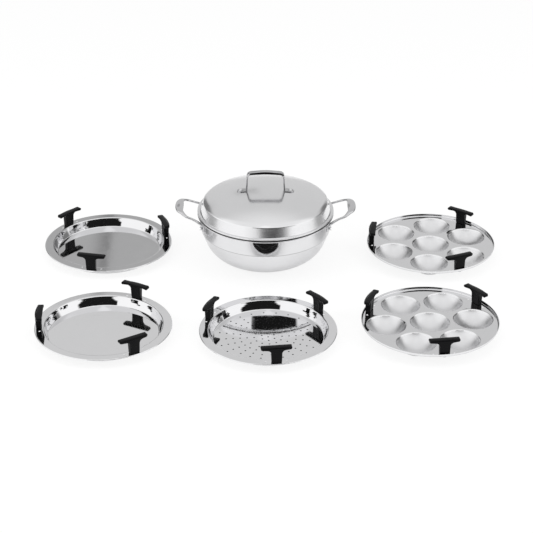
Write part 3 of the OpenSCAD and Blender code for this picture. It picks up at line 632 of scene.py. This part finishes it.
def makeLidHandle():
    h = lidHandle
    lugX, loopX = h["loopHalf"] + h["lugLength"], h["loopHalf"] - h["legThick"] / 2
    topZ = domeZ(loopX) + h["rise"]
    lift, middle = h["lugThick"] / 2 + h["gap"], topZ - h["topThick"] / 2
    half = [(lugX, domeZ(lugX) + lift), (loopX, domeZ(loopX) + lift, h["footBend"]),
            (loopX - h["splay"], middle - h["arch"], h["topBend"])]
    corners = [(-x, *rest) for x, *rest in half] + [(0, middle, h["archBend"])] + half[::-1]
    flat = bentPath(corners, stepTurn=h["stepTurn"], stepLength=h["stepLength"])
    steps = np.concatenate(([0], np.cumsum(np.hypot(*np.diff(flat, axis=0).T))))
    roundEnd = h["width"] / 2 * (1 - np.cos(np.linspace(0, math.pi / 2, h["endStations"])))
    even = np.concatenate((np.linspace(0, steps[-1], h["stations"]), steps, roundEnd, steps[-1] - roundEnd))
    even = np.unique(even).round(2)
    x, z = np.interp(even, steps, flat[:, 0]), np.interp(even, steps, flat[:, 1])
    line = np.stack((x, 0 * x, z + pot["height"]), 1)
    # Thickness follows the height: lug, leg, then the thicker top bar.
    low, high = domeZ(loopX), topZ - h["arch"] - h["turnIn"]
    thick = np.interp(z, (low + h["legFrom"][0], low + h["legFrom"][1], high, high + h["turnIn"]),
                      (h["lugThick"], h["legThick"], h["legThick"], h["topThick"]))
    # Round ends: the half width follows a half circle over the last stretch.
    fromEnd = np.minimum(np.minimum(even, even[-1] - even) / (h["width"] / 2), 1)
    width = h["width"] * np.sqrt(np.maximum(1 - (1 - fromEnd) ** 2, h["endShare"]))
    share = np.clip((thick - h["legThick"]) / (h["topThick"] - h["legThick"]), 0, 1)
    acrossWay = np.tile((0.0, -1.0, 0.0), (len(line), 1))
    patches = strapPatches(line, width, thick, acrossWay, h["corner"], h["around"], hat=h["hat"],
                           hatShare=share)
    # Painted reflection: the handle's steel is made darker than the rest, standing in for the dark room it
    # mirrors.
    makePiece("lidHandleLoop", patches, "lid", ["lid_handle"],
              steelFinish("lidHandleSteel", h["steel"]))
    print("lid handle made")


# Lid rivets: a button head over each lug and a collar under the crown
rivet = {
    "in": 6.8, "shank": 2, "collar": 3, "collarThick": 1.2, "collarBends": (0.5, 0.1), "head": 4,
    "headEdge": (0.2, 0.3), "edgeRise": 0.4, "topShare": 0.56, "topBend": 2.2, "rise": 1.9, "gap": 0.1,
    "sides": 48, "steel": {"rough": 0.12, "spread": 0.08, "pitch": 700.0, "bump": 0.03}}


def makeRivets():
    v = rivet
    rivetX = lidHandle["loopHalf"] + lidHandle["lugLength"] - v["in"]
    tilt = math.asin(rivetX / crownBall)
    under, seat = lid["wall"] + v["gap"], lidHandle["lugThick"] + v["gap"]
    low, top = -under - v["collarThick"], seat + v["rise"]
    path = bentPath([(0, low), (v["collar"], low, v["collarBends"][0]),
                     (v["collar"], -under, v["collarBends"][1]), (v["shank"], -under), (v["shank"], seat),
                     (v["head"], seat, v["headEdge"][0]), (v["head"], seat + v["edgeRise"], v["headEdge"][1]),
                     (v["head"] * v["topShare"], top, v["topBend"]), (0, top)])
    verts, faces = spunPatch(path, sides=v["sides"])
    x, y, z = verts.T
    patches = []
    for side in (1, -1):
        c, s = math.cos(side * tilt), math.sin(side * tilt)
        turned = np.stack((c * x + s * z, y, c * z - s * x), 1)
        patches.append((turned + (side * rivetX, 0, pot["height"] + domeZ(rivetX)), faces))
    makePiece("lidRivets", patches, "lid", ["lid_rivets"],
              steelFinish("rivetSteel", v["steel"]))
    print("rivets made")


# Plates: two flat pans, a perforated pan and two cavity plates, placed by their boxes in the frame
plate = {
    "radius": 120, "sheet": 1, "standIn": 8, "screwHole": 4.2, "ventDiameter": 3.6, "ventOff": 18.4,
    "ventIn": 9, "sides": 192, "holeSides": 32}
pan = {
    "height": 17, "flangeWidth": 16.2, "wallLean": 7.2, "wallHollow": 0.5, "wallBend": 60,
    "floorBend": 2.2, "flangeBend": 2.2, "drop": 2.4, "dropBend": 1.6, "flangeInset": 3.0,
    "flangeOutset": 0.3, "floorInset": 6.0,
    "steel": {"rough": 0.03, "spread": 0.03, "pitch": 700.0, "bump": 0.008}}
cavity = {
    "height": 20, "rimHeight": 4.6, "rimBend": 2, "rimInset": 0.4, "rimCrown": 0.01, "ringRadius": 77,
    "ringTurn": 30, "ball": 40.8, "bend": 2.5, "steps": (8, 25), "collar": 0.6, "foot": 0.1, "sides": 96,
    "bowlLip": 0.4, "bowlFade": 3.0, "bowlRough": 0.26,
    "steel": {"rough": 0.05, "spread": 0.04, "pitch": 700.0, "bump": 0.01}}
steamHoles = {"diameter": 3, "pitch": 12.2, "turn": -2, "counts": (6, 12, 12, 24, 24, 24, 24), "sides": 20}
# Which way the first stand of each plate points.
turns = {"rear_pan": 18, "front_pan": 62.5, "steam_pan": 37.3, "rear_idli": 53.5, "front_idli": 37.7}
panLooks = {"rear_pan": {"light": 0.82, "dull": 0.74},
            "front_pan": {"light": 0.84, "dull": 0.76},
            "steam_pan": {"light": 0.84, "dull": 0.74}}


def plateCentre(key):
    node = key if key.endswith("pan") else key + "_plate"
    low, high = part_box(node)
    return ((low.x + high.x) / 2 / mm, (low.y + high.y) / 2 / mm)


# A plate's name in a piece: rear_pan becomes rearPan.
def plateName(key):
    first, last = key.split("_")
    return first + last.capitalize()


# Places round a plate: radius r from the centre, at the stand's direction plus an angle, plus a side step.
def aroundPlate(centre, turn, r, sideStep=0.0):
    a = math.radians(turn)
    return (centre[0] + r * math.cos(a) - sideStep * math.sin(a),
            centre[1] + r * math.sin(a) + sideStep * math.cos(a))


def rimHoles(centre, turn):
    p = plate
    ventR = math.sqrt((p["radius"] - p["ventIn"]) ** 2 - p["ventOff"] ** 2)
    screwR = p["radius"] - p["standIn"]
    places = ((screwR, 0, p["screwHole"]), (ventR, -p["ventOff"], p["ventDiameter"]),
              (ventR, p["ventOff"], p["ventDiameter"]))
    return [(*aroundPlate(centre, stand, r, sideStep), diameter / 2, p["holeSides"])
            for stand in (turn, turn + 120, turn + 240) for r, sideStep, diameter in places]


def makePan(key):
    p, sheet, top = pan, plate["sheet"], pan["height"]
    centre, sides, rim = plateCentre(key), plate["sides"], plate["radius"]
    wallR = rim - p["flangeWidth"]
    floorR = wallR - p["wallLean"]
    # The wall is a little hollow: its middle lies outside the straight line from floor to flange.
    tilt = math.atan2(wallR - floorR, top - sheet)
    middle = ((floorR + wallR) / 2 + p["wallHollow"] * math.cos(tilt),
              (sheet + top) / 2 - p["wallHollow"] * math.sin(tilt), p["wallBend"])
    corners = [(0, sheet), (floorR, sheet, p["floorBend"]), middle, (wallR, top, p["flangeBend"]),
               (rim, top, p["dropBend"]), (rim, top - p["drop"])]
    flangeIn, flangeOut = wallR + p["flangeInset"], rim - p["dropBend"] - p["flangeOutset"]
    floorOut = floorR - p["floorInset"]
    pierced = key == "steam_pan"
    patches, edges = [], []
    for path, flangeZ in ((bentPath(corners), top), (bentPath(movedCorners(corners, sheet)), top - sheet)):
        path = path[(path[:, 0] <= flangeIn) | (path[:, 0] >= flangeOut)]
        k = np.argmax(path[:, 0] >= flangeOut)
        inward = np.concatenate((path[:k], [(flangeIn, flangeZ)]))
        outward = np.concatenate(([(flangeOut, flangeZ)], path[k:]))
        if pierced:
            inward[0, 0] = floorOut
        patches += [spunPatch(heldEnds(run), centre, sides) for run in (inward, outward)]
        edges.append(path[-1])
    patches.append(spunPatch(np.array(edges), centre, sides))
    patches += piercedSheet(ring(flangeOut, centre, sides), top, top - sheet, rimHoles(centre, turns[key]),
                            opened=[(*centre, flangeIn, sides)])
    if pierced:
        spots = [centre] + [aroundPlate(centre, turns[key] + steamHoles["turn"] + 360 * i / count,
                                        k * steamHoles["pitch"])
                            for k, count in enumerate(steamHoles["counts"], 1) for i in range(count)]
        holes = [(*spot, steamHoles["diameter"] / 2, steamHoles["sides"]) for spot in spots]
        patches += piercedSheet(ring(floorOut, centre, sides), sheet, 0.0, holes)
    finish = steelFinish(plateName(key) + "Steel", {**p["steel"], **panLooks[key]}, centre)
    makePiece(plateName(key), patches, key, [key], finish)


def makeCavityPlate(key):
    c, sheet, top = cavity, plate["sheet"], cavity["height"]
    centre, sides, rim = plateCentre(key), plate["sides"], plate["radius"] - plate["sheet"]
    flatOut, rimTop = rim - c["rimBend"] - c["rimInset"], top + c["rimHeight"]
    corners = [(flatOut, top), (rim, top, c["rimBend"]), (rim, rimTop)]
    inside, outside = bentPath(corners), bentPath(movedCorners(corners, sheet))
    lip = np.array((inside[-1], (inside[-1, 0] + sheet / 2, rimTop + c["rimCrown"]), outside[-1]))
    patches = [spunPatch(path, centre, sides) for path in (heldEnds(inside), heldEnds(outside), lip)]
    # A cavity's section: part of a ball whose lowest point lies one sheet and a foot above the table,
    # and the bend that carries it out to the level sheet.
    ballZ = c["ball"] - (top - sheet + c["foot"])
    reach = math.sqrt((c["ball"] + c["bend"]) ** 2 - (ballZ + c["bend"]) ** 2)
    meetTurn = math.atan2(reach, ballZ + c["bend"])
    bendSteps, ballSteps = c["steps"]
    bendTurn = np.linspace(0, meetTurn, bendSteps + 1)[1:]
    ballTurn = np.linspace(meetTurn, 0, ballSteps + 1)[1:]
    spots = [centre] + [aroundPlate(centre, turns[key] + c["ringTurn"] + 60 * k, c["ringRadius"])
                        for k in range(6)]
    collarR = reach + c["collar"]
    for grow in (0.0, sheet):
        bend, ball = c["bend"] - grow, c["ball"] + grow
        path = np.concatenate(([(collarR, top - grow), (reach, top - grow)],
                               np.stack((reach - bend * np.sin(bendTurn),
                                         top - c["bend"] + bend * np.cos(bendTurn)), 1),
                               np.stack((ball * np.sin(ballTurn), top + ballZ - ball * np.cos(ballTurn)), 1)))
        path[:, 1] = np.maximum(path[:, 1], 0.0)
        patches += [spunPatch(path, spot, c["sides"]) for spot in spots]
    patches += piercedSheet(ring(flatOut, centre, sides), top, top - sheet, rimHoles(centre, turns[key]),
                            opened=[(*spot, collarR, c["sides"]) for spot in spots])
    bowl = {"lip": top - c["bowlLip"], "fade": c["bowlFade"], "rough": c["bowlRough"]}
    finish = steelFinish(plateName(key) + "Steel", c["steel"], centre, bowl=bowl)
    makePiece(key.replace("_idli", "CavityPlate"), patches, key, [key + "_plate"],
              finish)


# Stands: black moulded T pieces, their bars curved with the plate's rim
stand = {
    "height": 28.5, "barLength": 55, "endRound": 4, "endFrom": 16, "barHeight": 5, "barWidth": 10.5,
    "barCurve": 90, "stemFoot": 17.5, "stemTop": 19, "stemThick": 9.2, "footBend": 1.5, "fillet": 6,
    "round": 2.2, "edgeRound": 1.4, "spacing": 2.2}


def makeStands(key, top, finish):
    s = stand
    centre = plateCentre(key)
    under, end = s["height"] - s["barHeight"], s["barLength"] / 2
    half = [(s["stemFoot"] / 2, 0, s["footBend"]), (s["stemTop"] / 2, under, s["fillet"]),
            (end, under, s["round"]), (end, s["height"], s["round"])]
    outline = bentPath([(-half[0][0], *half[0][1:])] + half + [(-x, *rest) for x, *rest in half[:0:-1]],
                       closed=True, stepTurn=12, stepLength=2.0)
    for k in range(3):
        # u runs along the rim, v up, w outwards: the bar lies on a circle of radius barCurve, and its ends
        # are drawn in towards both edges by a quarter round.
        def onRim(u, v, w, turn=turns[key] + 120 * k):
            edge = np.maximum(np.abs(w) - (s["barWidth"] / 2 - s["endRound"]), 0)
            pull = s["endRound"] - np.sqrt(s["endRound"] ** 2 - np.minimum(edge, s["endRound"]) ** 2)
            u = u - np.sign(u) * pull * np.clip((np.abs(u) - s["endFrom"]) / (end - s["endFrom"]), 0, 1)
            swell = np.interp(v, (0, under - 1), (s["stemThick"], s["barWidth"])) / s["barWidth"]
            out = np.sqrt((s["barCurve"] + w * swell) ** 2 - u ** 2) - s["barCurve"]
            r = plate["radius"] - plate["standIn"] + out
            return np.stack((*aroundPlate(centre, turn, r, u), top + v), 1)
        patches = roundedSlab(outline, s["barWidth"], s["edgeRound"], onRim, spacing=s["spacing"])
        makePiece("%sStand%d" % (plateName(key), k + 1), patches, key,
                  ["%s_stand_%d" % (key, k + 1)], finish)


# Screws and washers keep their CAD meshes and get a duller steel.
fastenerSteel = {
    "light": 0.68, "dull": 0.52, "tint": (0.0, 0.01, 0.03), "rough": 0.24, "spread": 0.12, "bump": 0.05}


def finishFasteners(key):
    finish = steelFinish(plateName(key) + "ScrewSteel", fastenerSteel)
    for part in ("screws", "washers"):
        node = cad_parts["%s_%s" % (key, part)]
        node.data.materials.clear()
        node.data.materials.append(finish)


# Room: floor, world and lamps, in metres. daylight is the world's strength for all that isn't seen directly.
floorPaper = {
    "size": 9.0, "under": 0.0003, "colour": (0.86, 0.86, 0.86), "paintedShadow": (0.02, 0.02, 0.02),
    "roughness": 0.9, "specular": 0.1, "glowShare": 0.86, "mirroredShare": 0.35, "contact": 0.006,
    "openFrom": (0.6, 0.9), "panReach": (0.088, 0.092), "front": -0.98, "side": 0.62, "fade": 0.4,
    "beyond": 0.42}
daylight = 0.78


# 1 for rays that show the room itself, to the camera, in a mirror or through glass.
def rayMask(tree):
    path = tree.nodes.new("ShaderNodeLightPath")
    seen = mathNode(tree, "ADD", path.outputs["Is Camera Ray"], path.outputs["Is Glossy Ray"])
    return path, mathNode(tree, "ADD", seen, path.outputs["Is Transmission Ray"], clamp=True)


# level (1 - mask) + target mask
def blendLevel(tree, level, mask, target):
    away = mathNode(tree, "MULTIPLY", level, mathNode(tree, "SUBTRACT", 1.0, mask))
    return mathNode(tree, "MULTIPLY_ADD", mask, target, away)


def mixShaders(tree, factor, a, b):
    mix = tree.nodes.new("ShaderNodeMixShader")
    for socket, value in zip(mix.inputs, (factor, a.outputs[0], b.outputs[0])):
        feed(tree, socket, value)
    return mix


def makeFloor():
    f = floorPaper
    corners = [(x * f["size"], y * f["size"], -f["under"]) for x, y in ((-1, -1), (1, -1), (1, 1), (-1, 1))]
    mesh = bpy.data.meshes.new("floor")
    mesh.from_pydata(corners, [], [(0, 1, 2, 3)])
    floor = newObject("floor", mesh)
    material, tree, shader, where = newMaterial("floorPaper")
    # White paper to the camera and to the metal, but mostly its own shading in mirrors.
    path, seen = rayMask(tree)
    glossy = path.outputs["Is Glossy Ray"]
    share = blendLevel(tree, mathNode(tree, "MULTIPLY", seen, f["glowShare"]), glossy, f["mirroredShare"])
    x, y = splitPoint(tree, where)[:2]
    # Painted shadow: only under the perforated pan, where its holes show it, the paper's colour goes near
    # black where little open sky reaches it.
    centre = [v * mm for v in plateCentre("steam_pan")]
    away = flatDistance(tree, *(mathNode(tree, "SUBTRACT", value, middle)
                                for value, middle in zip((x, y), centre)))
    openSky = addNode(tree, "ShaderNodeAmbientOcclusion", {"Distance": f["contact"]}).outputs["AO"]
    clear = mathNode(tree, "MAXIMUM", mapRange(tree, openSky, *f["openFrom"], 0.0, 1.0),
                     mapRange(tree, away, *f["panReach"], 0.0, 1.0))
    fill(tree, shader, {"Base Color": colourMix(tree, clear, f["paintedShadow"], f["colour"]),
                        "Roughness": f["roughness"], "Specular IOR Level": f["specular"]})
    lit = mixShaders(tree, mathNode(tree, "MULTIPLY", share, clear), shader,
                     tree.nodes.new("ShaderNodeEmission"))
    # The paper ends in front and at the sides, so metal that looks far out over it mirrors a darker room.
    front = mapRange(tree, y, f["front"] - f["fade"], f["front"], 1.0, 0.0)
    aside = mapRange(tree, mathNode(tree, "ABSOLUTE", x), f["side"], f["side"] + f["fade"], 0.0, 1.0)
    past = mathNode(tree, "MULTIPLY", mathNode(tree, "MAXIMUM", front, aside), glossy)
    end = mixShaders(tree, past, lit, addNode(tree, "ShaderNodeEmission", {"Strength": f["beyond"]}))
    tree.links.new(end.outputs[0], tree.nodes["Material Output"].inputs[0])
    mesh.materials.append(material)


# What the metal mirrors, by direction in degrees: azimuth from the camera's side (to the right is more),
# elevation over the horizon. Outside these the studio is white in front and overhead, grey behind.
# The fold is a dark line in the curtain, where x / y = from[1] + slope (z - from[0]).
studio = {
    "white": 1.15, "grey": 0.72, "greyFrom": 0.15, "greyTo": 0.42, "overhead": 0.96,
    "overheadFrom": (0.72, 0.92),
    "fold": {"slope": -0.228, "from": (0.4478, -0.1003), "width": 0.0012, "shade": 0.55, "fade": 0.014}}
zones = {"curtain": {"azimuth": (-178, -170), "elevation": (24, 28.7), "soft": 0.5, "level": 0.47},
         "softbox": {"centre": (0, 77), "reach": (24, 13), "soft": 0.95, "level": 1.18},
         "rightFlag": {"azimuth": (98, 150), "elevation": (2, 30), "soft": 8, "level": 0.22},
         "leftFlag": {"azimuth": (-156, -124), "elevation": (-1, 32), "soft": 8, "level": 0.22},
         "bench": {"centre": (0, 3), "reach": (32, 9), "soft": 0.9, "level": 0.85},
         "camera": {"centre": (17, 20), "reach": (38, 13), "soft": 0.16, "level": 0.012},
         "cameraTop": {"azimuth": (-24, 24), "elevation": (18, 42), "soft": 2.5, "level": 0.012}}


# How far a direction lies inside a zone: 1 within it, 0 outside, soft at the edges. A zone with a centre is
# an oval, (da / reach)^2 + (de / reach)^2 < 1, and any other is an oblong.
def zoneMask(tree, azimuth, elevation, zone):
    soft = zone["soft"]
    if "centre" in zone:
        aside, above = (mathNode(tree, "DIVIDE", mathNode(tree, "SUBTRACT", value, middle), reach)
                        for value, middle, reach in zip((azimuth, elevation), zone["centre"], zone["reach"]))
        away = mathNode(tree, "ADD", mathNode(tree, "MULTIPLY", aside, aside),
                        mathNode(tree, "MULTIPLY", above, above))
        return mapRange(tree, away, 1 - soft, 1 + soft, 1.0, 0.0)
    mask = 1.0
    for value, (low, high) in ((azimuth, zone["azimuth"]), (elevation, zone["elevation"])):
        for edge, way in ((low, 1), (high, -1)):
            step = mapRange(tree, value, edge - way * soft / 2, edge + way * soft / 2, 0.0, 1.0)
            mask = mathNode(tree, "MULTIPLY", step, mask)
    return mask


def makeWorld():
    world = bpy.data.worlds.new("studio")
    bpy.context.scene.world = world
    world.use_nodes = True
    tree = world.node_tree
    x, y, z = splitPoint(tree, tree.nodes.new("ShaderNodeTexCoord").outputs["Generated"])
    degree = 180 / math.pi
    flipped = mathNode(tree, "MULTIPLY", y, -1.0)
    azimuth = mathNode(tree, "MULTIPLY", mathNode(tree, "ARCTAN2", x, flipped), degree)
    elevation = mathNode(tree, "MULTIPLY", mathNode(tree, "ARCSINE", z), degree)
    level = mapRange(tree, y, studio["greyFrom"], studio["greyTo"], studio["white"], studio["grey"])
    overhead = mapRange(tree, z, *studio["overheadFrom"], 0.0, 1.0)
    level = blendLevel(tree, level, overhead, studio["overhead"])
    # The fold in the curtain fades to its left.
    fold = studio["fold"]
    line = mathNode(tree, "MULTIPLY_ADD", z, fold["slope"], fold["from"][1] - fold["slope"] * fold["from"][0])
    past = mathNode(tree, "SUBTRACT", mathNode(tree, "DIVIDE", x, mathNode(tree, "MAXIMUM", y, 0.01)), line)
    shade = mathNode(tree, "MAXIMUM", mapRange(tree, past, -fold["fade"], 0.0, 1.0, fold["shade"]),
                     mapRange(tree, past, 0.0, fold["width"], 0.0, 1.0))
    for key, zone in zones.items():
        target = mathNode(tree, "MULTIPLY", shade, zone["level"]) if key == "curtain" else zone["level"]
        level = blendLevel(tree, level, zoneMask(tree, azimuth, elevation, zone), target)
    path, seen = rayMask(tree)
    view = blendLevel(tree, level, path.outputs["Is Camera Ray"], 1.0)
    strength = blendLevel(tree, daylight, seen, view)
    fill(tree, tree.nodes["Background"], {"Color": (1, 1, 1, 1), "Strength": strength})


lamps = {"leftSoftbox": {"place": (-2.2, -0.9, 1.5), "size": (1.4, 1.6), "power": 26},
         "rightSoftbox": {"place": (2.2, -0.9, 1.5), "size": (1.4, 1.6), "power": 26},
         "topSoftbox": {"place": (0.0, -0.3, 2.6), "size": (2.6, 1.2), "power": 20}}
aim = (0, -0.15, 0.05)


def makeLamps():
    for name, values in lamps.items():
        data = bpy.data.lights.new(name, "AREA")
        data.shape, data.energy = "RECTANGLE", values["power"]
        data.size, data.size_y = values["size"]
        lamp = newObject(name, data)
        lamp.location = values["place"]
        lamp.visible_glossy = False
        lamp.rotation_euler = (Vector(aim) - Vector(values["place"])).to_track_quat("-Z", "Y").to_euler()


# The photograph's camera: focal length and image width in pixels, place and sensor in mm, clipEnd in metres.
camera = {
    "place": (1.8, -2914.7, 1520.6), "pitch": 27.88, "focal": 1737.6, "image": 533, "sensor": 36,
    "clipEnd": 50}


def makeCamera():
    data = bpy.data.cameras.new("camera")
    data.sensor_width, data.sensor_fit = camera["sensor"], "HORIZONTAL"
    data.lens = camera["focal"] / camera["image"] * camera["sensor"]
    data.clip_end = camera["clipEnd"]
    eye = newObject("camera", data)
    eye.location = [v * mm for v in camera["place"]]
    eye.rotation_euler = (math.radians(90 - camera["pitch"]), 0, 0)
    bpy.context.scene.camera = eye


makeCamera()
makePot()
makeSideHandles()
makeLid()
makeLidHandle()
makeRivets()

standFinish = plasticFinish("standPlastic")
for key in turns:
    if key in panLooks:
        makePan(key)
        makeStands(key, pan["height"], standFinish)
    else:
        makeCavityPlate(key)
        makeStands(key, cavity["height"], standFinish)
    finishFasteners(key)
    print(key, "made")

makeFloor()
makeWorld()
makeLamps()
bpy.context.scene.view_settings.view_transform = "Standard"
